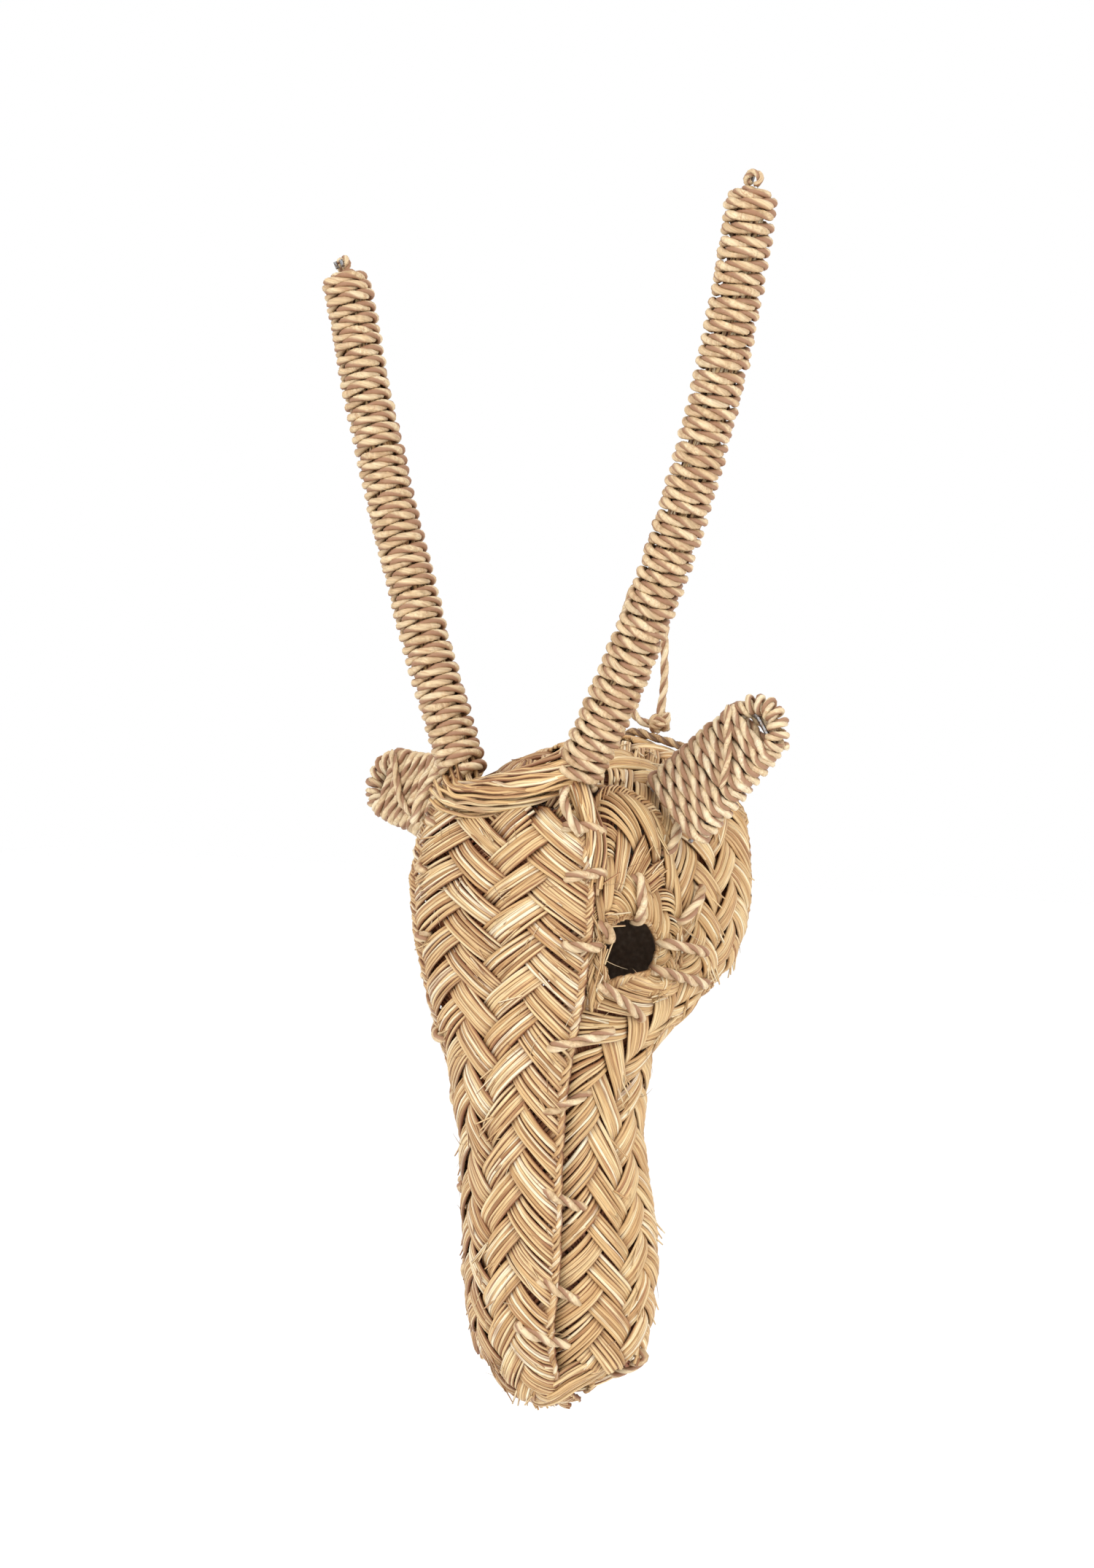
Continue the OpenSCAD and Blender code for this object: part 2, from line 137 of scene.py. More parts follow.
def fibre(name, colours, seam, stain, roughness, streak_mm, stain_from, groove):
    """Dried leaf, as laid in a strand or rolled into a ply: long fibres, a dark seam at one edge, and stains
    that run with the grain. The leaf attribute holds the length along it, the place across it and its own
    tone, and tuck how far it lies under other strands. The fibres are drawn coarser than real, to show."""
    made = bpy.data.materials.new(name)
    made.use_nodes = True
    tree = made.node_tree
    shader = tree.nodes["Principled BSDF"]
    leaf = add(tree, "ShaderNodeAttribute", attribute_name="leaf")
    part = add(tree, "ShaderNodeSeparateXYZ", links={"Vector": leaf.outputs["Vector"]})
    _, across, tone = part.outputs

    def grain(long_mm, wide, offset, detail=2.0):
        """Noise drawn out along the leaf: long_mm is its length along, and wide its bands across half the
        width. The tone moves it on, so that leaves differ in their streaks."""
        place = add(tree, "ShaderNodeVectorMath", operation="MULTIPLY",
                    inputs={1: (1 / (long_mm * MM), wide, 60)}, links={0: leaf.outputs["Vector"]})
        moved = add(tree, "ShaderNodeVectorMath", operation="ADD", inputs={1: (offset,) * 3},
                    links={0: place.outputs["Vector"]})
        noise = add(tree, "ShaderNodeTexNoise", inputs={"Scale": 1.0, "Detail": detail, "Roughness": 0.6},
                    links={"Vector": moved.outputs["Vector"]})
        return noise.outputs["Fac"]

    # Each leaf keeps near its own tone, and drifts a little over its length.
    cloud = grain(34, 0.5, 0)
    mixed = add(tree, "ShaderNodeMath", operation="MULTIPLY_ADD", inputs={1: 0.9, 2: -0.45}, links={0: cloud})
    toned = add(tree, "ShaderNodeMath", operation="ADD", links={0: tone, 1: mixed.outputs[0]})
    base = ramp(tree, toned.outputs[0], colours)

    # Fine fibres along the leaf.
    fine = ramp(tree, grain(streak_mm, 2.6, 7, 3.0), [(0.30, 0.72), (0.62, 1.06)])
    lined = add(tree, "ShaderNodeMix", data_type="RGBA", blend_type="MULTIPLY", inputs={"Factor": 1.0},
                links={"A": base, "B": fine})
    # Reddish stains where the sap dried.
    blot = ramp(tree, grain(26, 1.1, 21), [(stain_from, 0.0), (stain_from + 0.10, 1.0)])
    blotted = add(tree, "ShaderNodeMix", data_type="RGBA", inputs={"B": srgb(stain)},
                  links={"A": lined.outputs["Result"]})
    amount = add(tree, "ShaderNodeMath", operation="MULTIPLY", inputs={1: 0.62}, links={0: blot})
    tree.links.new(amount.outputs[0], blotted.inputs["Factor"])
    # A leaf rolls shut along one edge, where it shows a red-brown line; the other edge is barely darker.
    edge = add(tree, "ShaderNodeMath", operation="MULTIPLY_ADD", inputs={1: 0.5, 2: 0.5}, links={0: across})
    rim = ramp(tree, edge.outputs[0], [(0.0, 0.35), (0.14, 0.0), (0.62, 0.0), (0.90, 0.90)])
    seamed = add(tree, "ShaderNodeMix", data_type="RGBA", inputs={"B": srgb(seam)},
                 links={"A": blotted.outputs["Result"], "Factor": rim})
    # Painted shade: where a leaf lies under other strands it is darkened towards red-brown, as shade falls in
    # the weave.
    tuck = add(tree, "ShaderNodeAttribute", attribute_name="tuck")
    shade = ramp(tree, tuck.outputs["Fac"], [(0.28, "#FFFFFF"), (0.95, "#A67A6A")])
    shaded = add(tree, "ShaderNodeMix", data_type="RGBA", blend_type="MULTIPLY", inputs={"Factor": 1.0},
                 links={"A": seamed.outputs["Result"], "B": shade})
    tree.links.new(shaded.outputs["Result"], shader.inputs["Base Color"])

    ribs = grain(streak_mm * 2, 5.0, 3, 2.0)
    bump = add(tree, "ShaderNodeBump", inputs={"Strength": groove, "Distance": 0.6 * MM},
               links={"Height": ribs})
    tree.links.new(bump.outputs["Normal"], shader.inputs["Normal"])
    swing = 0.25  # how far the roughness goes up and down over the ribs
    rough = add(tree, "ShaderNodeMath", operation="MULTIPLY_ADD", inputs={1: swing, 2: roughness - swing / 2},
                links={0: ribs})
    tree.links.new(rough.outputs[0], shader.inputs["Roughness"])
    shader.inputs["IOR"].default_value = 1.45
    return made


# Esparto leaf, dried and plaited: straw yellow with a satin skin, and brown where it rolled shut.
ESPARTO = fibre("esparto_leaf",
                [(0.05, "#A37A4C"), (0.30, "#C59C68"), (0.52, "#D8B480"), (0.75, "#E6CA98"),
                 (0.97, "#F3E5C4")],
                seam="#7C4A30", stain="#93593A", roughness=0.50, streak_mm=12, stain_from=0.545, groove=0.55)
# The same leaf, bent hard into a roll, with more stains. Its colours are paler all over as painted light, to
# lift the shade that falls on the brow roll.
ESPARTO_BENT_PAINTED_LIGHT = fibre("esparto_leaf_bent_painted_light",
                     [(0.05, "#AF8453"), (0.32, "#D3AA72"), (0.55, "#E3C08A"), (0.78, "#EED6A6"),
                      (0.97, "#F6E8C6")],
                     seam="#74452D", stain="#874E33", roughness=0.50, streak_mm=14, stain_from=0.50,
                     groove=0.55)
# Old esparto, twisted into a coarse cord: matt and brown.
ESPARTO_CORD = fibre("esparto_twisted",
                     [(0.05, "#7C5A3A"), (0.35, "#9A7650"), (0.6, "#B18F66"), (0.95, "#C8AA80")],
                     seam="#5E4230", stain="#6B4630", roughness=0.62, streak_mm=10, stain_from=0.58,
                     groove=0.7)
# Dwarf palm leaf, split and twisted in two plies: pale, slightly pink, smoother than esparto.
PALM = fibre("palm_leaf_cord",
             [(0.05, "#AF9068"), (0.28, "#CFB28A"), (0.52, "#DEC7A0"), (0.78, "#E9D7B6"), (0.97, "#F2E6CC")],
             seam="#94694E", stain="#AA7D5C", roughness=0.55, streak_mm=16, stain_from=0.60, groove=0.45)


def plain(name, colour, roughness, metallic=0.0):
    """One colour all over, which a finish below may vary."""
    made = bpy.data.materials.new(name)
    made.use_nodes = True
    shader = made.node_tree.nodes["Principled BSDF"]
    shader.inputs["Base Color"].default_value = srgb(colour)
    shader.inputs["Roughness"].default_value = roughness
    shader.inputs["Metallic"].default_value = metallic
    return made


def drawn_wire():
    """Mild steel wire, drawn and left bare: grey, with a dull sheen and brown specks of rust."""
    made = plain("drawn_steel_wire", "#8C8D8E", 0.42, 1.0)
    tree = made.node_tree
    shader = tree.nodes["Principled BSDF"]
    place = add(tree, "ShaderNodeTexCoord")
    specks = add(tree, "ShaderNodeTexNoise", inputs={"Scale": 1 / (1.111 * MM), "Detail": 3.0},
                 links={"Vector": place.outputs["Object"]})
    colour = ramp(tree, specks.outputs["Fac"], [(0.45, "#8F9092"), (0.62, "#7A6A5C"), (0.75, "#6E4A34")])
    tree.links.new(colour, shader.inputs["Base Color"])
    return made


WIRE = drawn_wire()


def painted_shade_felt():
    """Thin pressed felt for the sheet across the open back, quite matt, with paler and darker tufts of fibre
    matted together. Its grey-brown is painted shade: the colour of the wall in shade behind the hollow, seen
    through the eye.
    """
    made = plain("painted_shade_felt", "#A39180", 0.95)
    tree = made.node_tree
    place = add(tree, "ShaderNodeTexCoord")
    matted = add(tree, "ShaderNodeTexNoise", inputs={"Scale": 1 / (2.381 * MM), "Detail": 4.0},
                 links={"Vector": place.outputs["Object"]})
    colour = ramp(tree, matted.outputs["Fac"], [(0.32, "#8F7D6C"), (0.52, "#A39180"), (0.70, "#B5A493")])
    shader = tree.nodes["Principled BSDF"]
    tree.links.new(colour, shader.inputs["Base Color"])
    bump = add(tree, "ShaderNodeBump", inputs={"Strength": 0.4, "Distance": 0.4 * MM},
               links={"Height": matted.outputs["Fac"]})
    tree.links.new(bump.outputs["Normal"], shader.inputs["Normal"])
    return made


PAINTED_SHADE_FELT = painted_shade_felt()


# ---------------------------------------------------------------- lines and surfaces

def unit(v):
    """The same directions, one long."""
    return v / np.maximum(np.linalg.norm(v, axis=-1, keepdims=True), 1e-12)


def between(a, b, c, d, f):
    """The part f of the way from b to c, on a smooth curve that passes a, b, c and d."""
    return 0.5 * (2 * b + (c - a) * f + (2 * a - 5 * b + 4 * c - d) * f ** 2
                  + (3 * b - a - 3 * c + d) * f ** 3)


def spline(rows, s):
    """Points of a smooth line through rows, where s counts rows. A row may be a point or a list of points."""
    rows = np.asarray(rows, float)
    ends = np.concatenate([[2 * rows[0] - rows[1]], rows, [2 * rows[-1] - rows[-2]]])
    s = np.asarray(s, float)
    i = np.clip(np.floor(s).astype(int), 0, len(rows) - 2)
    f = (s - i).reshape((-1,) + (1,) * (rows.ndim - 1))
    return between(ends[i], ends[i + 1], ends[i + 2], ends[i + 3], f)


def at(points):
    """Points of the head, from percent of its half width, its depth out from the wall and its height down."""
    return np.asarray(points, float) * HEAD - [0, 0, HANG_DROP]


def evenly(path, step):
    """The same line with points an even step apart."""
    path = np.asarray(path, float)
    run = np.concatenate([[0], np.cumsum(np.linalg.norm(np.diff(path, axis=0), axis=1))])
    stops = np.linspace(0, run[-1], max(int(round(run[-1] / step)), 2) + 1)
    return np.stack([np.interp(stops, run, path[:, k]) for k in range(3)], axis=1)


def smooth_line(points, step=0.0015):
    """A smooth line through a few points, as many points an even step apart."""
    points = np.asarray(points, float)
    return evenly(spline(points, np.linspace(0, len(points) - 1, 24 * (len(points) - 1) + 1)), step)


def wander(rng, run, wave, size):
    """A value that drifts gently along a run of lengths: wave is about how far until it turns back."""
    phase = rng.uniform(0, 2 * math.pi, 3)
    bend = rng.uniform(0.8, 1.25, 3)
    return size * sum(w * np.sin(2 * math.pi * run / (wave * k * b) + p)
                      for w, k, b, p in zip((0.6, 0.4, 0.25), (1.0, 0.53, 0.31), bend, phase))


class Band:
    """The outer face of a plait: rows of points across it, with s along the rows and t across from 0 to 1.
    way is 1 or -1, whichever turns its normal outwards."""

    def __init__(self, rows, way):
        self.rows, self.way = np.asarray(rows, float), way

    def face(self, s, t):
        """Points of the face."""
        row = spline(self.rows, s)
        t = np.asarray(t, float)[:, None]
        n = row.shape[1] - 1
        if n == 2:  # three points across make a plain arch
            return (row[:, 0] * (1 - t) * (1 - 2 * t) + row[:, 1] * 4 * t * (1 - t)
                    + row[:, 2] * t * (2 * t - 1))
        ends = np.concatenate([2 * row[:, :1] - row[:, 1:2], row, 2 * row[:, -1:] - row[:, -2:-1]], axis=1)
        i = np.clip(np.floor(t[:, 0] * n).astype(int), 0, n - 1)
        f = t * n - i[:, None]
        k = np.arange(len(i))
        a, b, c, d = (ends[k, i + j] for j in range(4))
        return between(a, b, c, d, f)

    def out(self, s, t):
        """Outward normals."""
        s, t = np.asarray(s, float), np.asarray(t, float)
        e = 0.05  # a short way to either side
        down = self.face(s + e, t) - self.face(s - e, t)
        side = self.face(s, t + e) - self.face(s, t - e)
        return self.way * unit(np.cross(down, side))

    def on(self, s, t):
        """One point and its normal."""
        return self.face([s], [t])[0], self.out([s], [t])[0]


FACE = Band(at([
    [[-76, 85, 9], [0, 92, 8], [59, 84, 9]],
    [[-82, 88, 14], [0, 95, 14], [64, 88, 14]],
    [[-85, 90, 22], [0, 98, 22], [71, 89, 22]],
    [[-71, 92, 35], [0, 99, 35], [65, 90, 35]],
    [[-54, 89, 48], [-1, 100, 48], [53, 90, 48]],
    [[-52, 83, 60], [-7, 97, 60], [46, 89, 60]],
    [[-58, 75, 75], [-13, 94, 75], [41, 87, 75]],
    [[-58, 72, 85], [-13, 91, 87], [35, 86, 86]],
    [[-48, 64, 93], [-9, 80, 96], [31, 78, 94]],
    [[-30, 54, 97], [0, 62, 99], [29, 64, 98]],
]), 1)
CHEEK = Band(at([
    [[0, -2, 0], [0, 39, -1], [0, 80, 2]],
    [[47, -2, 3], [49, 33, 2], [44, 66, 4]],
    [[83, -2, 9], [81, 28, 8], [75, 57, 8]],
    [[92, -2, 17], [97, 27, 16], [91, 51, 16]],
    [[90, -2, 26], [100, 25, 26], [96, 47, 26]],
    [[79, 2, 33], [96, 25, 33], [96, 47, 32]],
    [[68, 13, 36], [88, 36, 37.5], [91, 61, 33.5]],
    [[56, 30, 39], [79, 52, 42.5], [77, 77, 35.5]],
    [[53, 34, 46], [70, 61, 48], [60, 87, 40.5]],
    [[50, 37, 58], [65, 63, 58], [44, 84, 55]],
    [[59, 35, 73], [72, 63, 74], [36, 83, 74]],
    [[57, 37, 84], [72, 62, 85], [31, 81, 85]],
    [[50, 39, 90], [66, 61, 92], [27, 77, 92]],
]), -1)
JAW = Band(at([[[x, y, z], [x2, y2, z2], [0, y3, z3], [-x2, y2, z2], [-x, y, z]]
               for x, y, z, x2, y2, z2, y3, z3 in [
    (66, 8, 35, 53, -2, 38, -2, 40), (54, 28, 39, 47, 10, 42, 3, 44), (46, 43, 44, 42, 27, 47, 14, 49),
    (43, 46, 57, 40, 31, 57, 20, 57), (49, 45, 70, 42, 28, 70, 19, 70), (49, 47, 83, 42, 30, 83, 21, 84),
    (42, 52, 91, 34, 40, 92, 33, 93), (30, 62, 95, 24, 54, 97, 47, 98)]]), 1)
EYE_AT = at([84, 72, 29])
EYE_ALONG = unit(at([96, 50, 30]) - at([71, 90, 30]))
EYE_HALF_W, EYE_HALF_H = 0.016, 0.0125


def eye_edge(a):
    """A point of the oval opening of the right eye, at that angle up from its back."""
    a = math.radians(a)
    return EYE_AT + EYE_ALONG * EYE_HALF_W * math.cos(a) + np.array([0, 0, EYE_HALF_H * math.sin(a)])


EYE = Band([[at(outer), at(middle), eye_edge(a)] for a, middle, outer in [
    (225, (76, 84, 36), (67, 86, 38)), (180, (74, 85, 30), (67, 88, 30)), (135, (78, 83, 22), (64, 86, 17)),
    (90, (83, 74, 17), (68, 74, 7)), (45, (91, 61, 19), (85, 53, 11)), (0, (95, 53, 27), (96, 49, 24)),
    (-45, (93, 57, 34), (93, 52, 34)), (-60, (87, 63, 36), (87, 59, 37))]], -1)


# ---------------------------------------------------------------- leaves and cords

class Laid:
    """Gathers swept leaves and plies, and makes one piece of them."""

    def __init__(self):
        self.corners, self.quads, self.leaf, self.tuck, self.count = [], [], [], [], 0

    def sweep(self, path, across, half_w, half_t, tone, tuck=0.0, sides=6, start=0.0):
        """A closed leaf or ply along path, half_w being half its width, which lies along across. start moves
        its pattern along it."""
        path = np.asarray(path, float)
        n = len(path)
        ahead = unit(np.gradient(path, axis=0))
        across = unit(across - ahead * np.sum(across * ahead, axis=1, keepdims=True))
        up = np.cross(ahead, across)
        a = 2 * math.pi * np.arange(sides) / sides
        w = np.broadcast_to(half_w, n)[:, None, None] * np.cos(a)[None, :, None]
        h = np.broadcast_to(half_t, n)[:, None, None] * np.sin(a)[None, :, None]
        ring = path[:, None] + w * across[:, None] + h * up[:, None]
        run = np.concatenate([[0], np.cumsum(np.linalg.norm(np.diff(path, axis=0), axis=1))])
        leaf = np.zeros((n, sides, 3))
        leaf[..., 0] = (run + start)[:, None]
        leaf[..., 1] = np.cos(a)[None]
        leaf[..., 2] = tone
        k = np.arange(sides)
        i = np.arange(n - 1)[:, None] * sides
        after = (k + 1) % sides
        skin = np.stack([i + k, i + after, i + sides + after, i + sides + k], -1).reshape(-1, 4)
        half = np.arange(sides // 2 - 1)
        cap = np.stack([half, sides - 1 - half, sides - 2 - half, half + 1], -1)
        far = cap[:, ::-1] + (n - 1) * sides
        self.quads.append(np.concatenate([skin, cap, far]) + self.count)
        self.corners.append(ring.reshape(-1, 3))
        self.leaf.append(leaf.reshape(-1, 3))
        self.tuck.append(np.repeat(np.broadcast_to(tuck, n), sides))
        self.count += n * sides

    def piece(self, name, material, nodes=(), wall=True):
        """One piece of all that was gathered. Where wall is set, what meets the wall lies flat against it."""
        corners = np.concatenate(self.corners)
        if wall:
            corners[:, 1] = np.minimum(corners[:, 1], -0.2 * MM)
        mesh = bpy.data.meshes.new(name)
        mesh.from_pydata(corners.tolist(), [], np.concatenate(self.quads).tolist())
        mesh.attributes.new("leaf", "FLOAT_VECTOR", "POINT").data.foreach_set(
            "vector", np.concatenate(self.leaf).astype(np.float32).ravel())
        # tuck holds how far each point lies under other strands; the material darkens it there as painted
        # shade.
        mesh.attributes.new("tuck", "FLOAT", "POINT").data.foreach_set(
            "value", np.concatenate(self.tuck).astype(np.float32))
        mesh.shade_smooth()
        mesh.materials.append(material)
        made = bpy.data.objects.new(name, mesh)
        bpy.context.scene.collection.objects.link(made)
        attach(made, "root")
        if nodes:
            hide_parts(*nodes)
        return made


def carried(path, first):
    """A side direction that goes along a line without twisting, starting near first, and the line's own."""
    ahead = unit(np.gradient(path, axis=0))
    side = np.zeros_like(path)
    v = np.asarray(first, float)
    for i, t in enumerate(ahead):
        v = v - t * (v @ t)
        v = v / max(np.linalg.norm(v), 1e-9)
        side[i] = v
    return side, ahead


def twine(laid, rng, path, diameter, lay=0.022, step=0.0016, tone=0.5, loose=1.0, tuck=0.0, taper=0.0):
    """Cord of two plies twisted right-handed round each other, one turn in each lay of its length. loose says
    how unevenly, and over taper the ends run thin."""
    path = evenly(path, step)
    n = len(path)
    run = np.arange(n) * step
    u, ahead = carried(path, (0.31, 0.87, 0.22))
    v = np.cross(ahead, u)
    turn = 2 * math.pi * run / lay + rng.uniform(0, 6.28) + wander(rng, run, 0.05, 0.35 * loose)
    fine = np.ones(n)
    if taper:
        fine = np.clip(np.minimum(run, run[-1] - run) / taper + 0.35, 0, 1)
    for ply in (0, 1):
        angle = turn + ply * math.pi
        out = np.cos(angle)[:, None] * u + np.sin(angle)[:, None] * v
        swell = (1 + wander(rng, run, 0.017, 0.10 * loose)) * fine
        reach = PLY_OUT * diameter * (1 + wander(rng, run, 0.03, 0.06 * loose)) * fine
        centre = path + out * reach[:, None]
        laid.sweep(centre, np.cross(ahead, out), PLY_W * diameter * swell, PLY_T * diameter * swell,
                   np.clip(tone + rng.normal(0, 0.10) + wander(rng, run, 0.06, 0.10)[:, None], 0, 1),
                   tuck, 8, rng.uniform(0, 5))
    return path


def plait_weave(laid, rng, band, strands, strand_w, first, leaves=9, spread=(0.0, 1.0)):
    """A flat plait of an odd number of strands, each over two and under two, which makes columns of leaves
    that slant one way and then the other. first is 1 where the first column from t = 0 falls towards t = 1,
    and -1 the other way. spread holds the places across the band where the plait's own edges come. The plait
    grows by one count for each strand that folds over at one edge."""
    s = np.linspace(0, len(band.rows) - 1, 400)
    mid = band.face(s, np.full_like(s, 0.5))
    run = np.concatenate([[0], np.cumsum(np.linalg.norm(np.diff(mid, axis=0), axis=1))])
    ts = np.linspace(*spread, 13)
    rails = np.stack([band.face(s, np.full_like(s, t)) for t in ts], axis=1)
    width = np.linalg.norm(np.diff(rails, axis=1), axis=2).sum(axis=1)
    w = np.minimum(strand_w, width / (0.66 * strands))  # narrower where the plait narrows
    inner = np.maximum(width - 0.0022, w)  # from the middle of one fold to the other's
    pitch = 2 * inner * w / np.sqrt(4 * inner ** 2 - np.minimum(strands * w, 1.75 * inner) ** 2)
    count = np.concatenate([[0], np.cumsum(np.diff(run) / (0.5 * (pitch[1:] + pitch[:-1])))])
    # One strand's place across the plait, from -1 to 1, and its height, over one zigzag.
    parts = 720
    cycle = np.linspace(0, 1, parts + 1)
    crossed = np.where(cycle < 0.5, 2 * strands * cycle, 2 * strands * (1 - cycle))

    def rounded(values, reach):
        """The same zigzag with its corners rounded, over a reach told in strands."""
        near = np.arange(-24, 25)
        share = np.exp(-0.5 * (near * (2 * strands / parts) / reach) ** 2)
        around = np.concatenate([values[-25:-1], values, values[1:25]])
        return np.convolve(around, share / share.sum(), "valid")

    wave = np.cos(math.pi * (crossed - 1.5) / 2) * np.where(cycle < 0.5, 1, -1) * first
    wave = rounded(np.tanh(2.4 * wave) / math.tanh(2.4), 0.24)
    zig = rounded(2 * crossed / strands - 1, 0.34)
    zig /= np.abs(zig).max()
    lift = (PLAIT_T - 0.0034) / 2  # how far a strand goes up and down from the plait's middle
    step = 2 * inner / strands  # how far a strand goes across while the plait grows by one count
    slope = np.hypot(step, pitch)
    leaf_t = 0.00088  # half a leaf's thickness
    wider = 1.32  # leaves are wider than their share of the strand, so that they overlap
    for k in range(strands):
        # Walk along the strand in even steps of the count. Each leaf goes straight on to the plait's edge and
        # turns over there, so that the leaf that led the strand across follows it back.
        c = np.linspace(0, count[-1], int(count[-1] * 7.5) + 2)
        sk = np.interp(c, count, s)
        walk = c * 0.010  # about how far that is, for what drifts along the strand
        wide, dx, dy, hyp = (np.interp(sk, s, v) for v in (w, step, pitch, slope))
        drift = wander(rng, walk, 0.06, 0.00025)
        swell = 1 + wander(rng, walk, 0.045, 0.06)
        tilt = wander(rng, walk, 0.07, 0.14)
        strand_tone = rng.normal(0.50, 0.08)
        for i in range(leaves):
            place = 2 * (i + 0.5) / leaves - 1
            place = place + wander(rng, walk, 0.05, 0.09) + rng.normal(0, 0.03)
            gap = place * 0.5 * wide * 0.90 * swell
            ahead_of = gap * dy / (hyp * dx)
            x = np.interp(((c + ahead_of - k) / strands) % 1.0, cycle, zig)
            # It dives along the edge of the strand it meets, except where the whole strand turns over.
            crossing = gap * (dy ** 2 - dx ** 2) / (2 * dx * dy * hyp)
            turning = np.clip((np.abs(x) - 1 + 2.7 / strands) * strands / 1.8, 0, 1)
            phase = c + crossing + (ahead_of - crossing) * turning
            h = np.interp(((phase - k) / strands) % 1.0, cycle, wave)
            si = np.interp(c - gap * dx / (hyp * dy), count, s)
            t = 0.5 + 0.5 * x * np.interp(si, s, inner / width) * (1 - 0.012 * rng.uniform(0, 1))
            t = spread[0] + (spread[1] - spread[0]) * t
            out = band.out(si, t)
            crown = 0.0009 * (1 - place ** 2) * h  # a strand bulges along its middle
            rise = lift * h + drift + crown + gap * tilt + wander(rng, walk, 0.03, 0.00013)
            lane = band.face(si, t) + out * (rise - PLAIT_T / 2)[:, None]
            side = unit(np.cross(out, unit(np.gradient(lane, axis=0))))
            stout = rng.uniform(0.86, 1.2)
            half_w = wide / 2 / leaves * wider * stout * swell * (1 + wander(rng, walk, 0.03, 0.06))
            tone = strand_tone + rng.normal(0, 0.20)
            first_cut, last_cut = rng.integers(0, 2, 2)
            cut = slice(int(first_cut), len(c) - int(last_cut))
            # (0.5 - 0.5 * h) is how far the leaf lies under; the material paints shade there.
            laid.sweep(lane[cut], side[cut], half_w[cut], leaf_t * stout, tone, (0.5 - 0.5 * h)[cut], 6,
                       rng.uniform(0, 5))
    return Weave(band, strands, s, count, spread, inner / width, cycle, zig, wave, w)


class Weave:
    """Where the strands of a finished plait run, for the stubs that come out of it."""

    def __init__(self, band, strands, s, count, spread, reach, cycle, zig, wave, width):
        self.band, self.strands, self.s, self.count, self.spread = band, strands, s, count, spread
        self.reach, self.cycle, self.zig, self.wave, self.width = reach, cycle, zig, wave, width

    def along(self, k, c):
        """Points of strand k at counts c, with the outward normals, the strand's height and its width."""
        u = ((c - k) / self.strands) % 1.0
        sk = np.interp(c, self.count, self.s)
        t = 0.5 + 0.5 * np.interp(u, self.cycle, self.zig) * np.interp(sk, self.s, self.reach)
        t = self.spread[0] + (self.spread[1] - self.spread[0]) * t
        h = np.interp(u, self.cycle, self.wave)
        return self.band.face(sk, t), self.band.out(sk, t), h, np.interp(sk, self.s, self.width)


def stubs(laid, rng, weave, number, length=0.010):
    """Cut ends of leaves that were added to a strand: each lies along its strand and stops short, a little
    proud, where the strand dives."""
    f = np.linspace(0, 1, 8)
    done = tries = 0
    while done < number and tries < number * 40:
        tries += 1
        k = rng.integers(0, weave.strands)
        c0 = rng.uniform(0.6, weave.count[-1] - 1.2)
        _, _, h, _ = weave.along(k, np.array([c0, c0 + 0.5]))
        if not (h[0] > 0.5 and h[1] < 0.1):
            continue
        c = c0 + np.linspace(-0.25, 0.28, len(f))
        base, out, h, wide = weave.along(k, c)
        ahead = unit(np.gradient(base, axis=0))
        side = unit(np.cross(out, ahead))
        for _ in range(rng.integers(1, 5)):
            place = rng.uniform(-0.8, 0.8)
            # It starts between the leaves and comes up through them.
            line = (base[0] + ahead[0] * (f * length * rng.uniform(0.7, 1.4))[:, None]
                    + side[0] * (place * 0.5 * wide[0] + f * rng.normal(0, 0.0016))[:, None]
                    + out[0] * (-0.0012 + f * 0.0012 + f ** 2 * rng.uniform(-0.0004, 0.0012))[:, None])
            laid.sweep(line, np.repeat(side[:1], len(f), 0), 0.00055 * (1.1 - 0.45 * f),
                       0.00045 * (1.1 - 0.5 * f), rng.uniform(0.35, 0.95), 0.0, 6, rng.uniform(0, 5))
        done += 1


def hairs(laid, rng, band, number, longest=0.014):
    """Loose fibres that stand a little off the plait."""
    last = len(band.rows) - 1
    for _ in range(number):
        p, n = band.on(rng.uniform(0.3, last - 0.2), rng.uniform(0.04, 0.96))
        way = unit(np.cross(n, rng.normal(size=3)))
        curl = unit(np.cross(n, way)) * rng.normal(0, 0.25)
        f = np.linspace(0, 1, 6)
        size = rng.uniform(0.4, 1.0) * longest
        rise = rng.uniform(0.05, 0.30)
        line = p - n * 0.0012 + (way * (f * size)[:, None] + curl * (f ** 2 * size)[:, None]
                                 + n * (f * size * rise)[:, None])
        laid.sweep(line, np.repeat(curl[None] + n * 0.1, 6, 0), 0.00022 * (1.2 - f), 0.0002 * (1.2 - f),
                   rng.uniform(0.4, 0.9), 0.0, 4, rng.uniform(0, 5))


def bundle(laid, rng, path, radius, leaves, turns, leaf_w=LEAF, ragged=0.006):
    """Leaves laid side by side in a round bundle that turns slowly as it goes, cut ragged at both ends."""
    step = 0.003
    path = evenly(path, step)
    u, ahead = carried(path, (0.2, 0.9, 0.3))
    v = np.cross(ahead, u)
    run = np.arange(len(path)) * step
    f = run / run[-1]
    for i in range(leaves):
        ring = rng.choice([1.0, 1.0, 0.86, 0.62])
        angle = 2 * math.pi * (i / leaves + turns * f) + wander(rng, run, 0.06, 0.18) + rng.normal(0, 0.06)
        reach = radius * ring * (1 + wander(rng, run, 0.05, 0.035)) - leaf_w * 0.6
        out = np.cos(angle)[:, None] * u + np.sin(angle)[:, None] * v
        line = path + out * reach[:, None]
        a, b = rng.uniform(0, ragged, 2) / step
        cut = slice(int(a), len(path) - int(b))
        laid.sweep(line[cut], np.cross(ahead, out)[cut], leaf_w * rng.uniform(0.85, 1.25), leaf_w * 0.8,
                   rng.normal(0.5, 0.2), 0.0, 6, rng.uniform(0, 5))


def mirrored(points):
    """The same on the other side of the head."""
    return np.asarray(points, float) * [-1, 1, 1]


# ---------------------------------------------------------------- hanging cord, which comes before the rest

